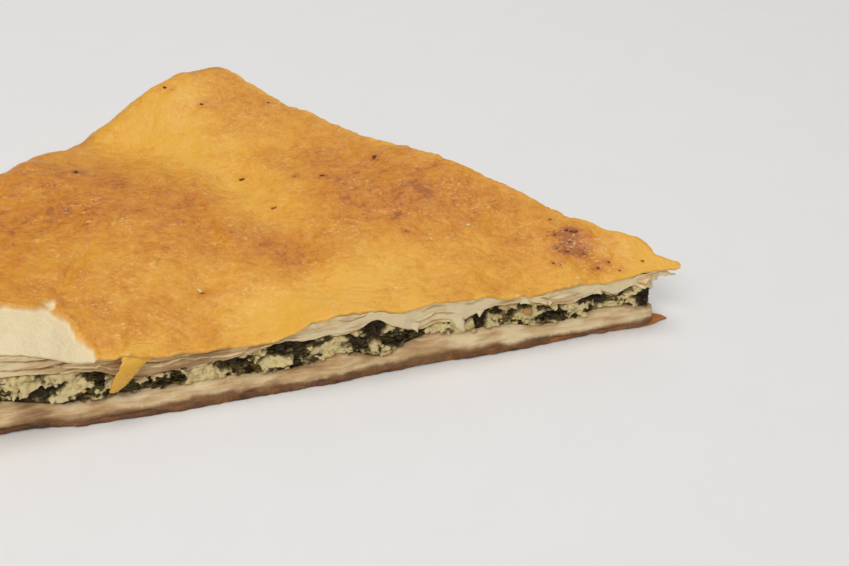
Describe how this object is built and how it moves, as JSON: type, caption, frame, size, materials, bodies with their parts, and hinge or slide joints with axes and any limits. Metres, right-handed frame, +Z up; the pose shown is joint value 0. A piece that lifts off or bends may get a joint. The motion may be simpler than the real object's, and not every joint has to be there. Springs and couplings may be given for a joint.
{
  "type": "spinach and cheese filo pie wedge",
  "caption": "Wedge cut from a round filo pie: a puffed, browned flaky top, a spinach and white cheese filling, and a flat baked base, with two straight cuts.",
  "frame": {"origin": "centre of the bounding box on the plane that the pie rests on", "axes": "+X along the front cut towards the tip, +Y to the back, +Z up"},
  "size_m": [0.169, 0.1142, 0.0226],
  "materials": {
    "bottom_crust": "baked dough, pale and chewy, with a brown underside",
    "filling": "moist chopped spinach and white cheese",
    "top_crust": "golden brown filo with a faint butter sheen"
  },
  "bodies": {
    "root": {"bottom_crust": "bottom_crust", "filling": "filling", "top_crust": "top_crust"}
  },
  "joints": []
}
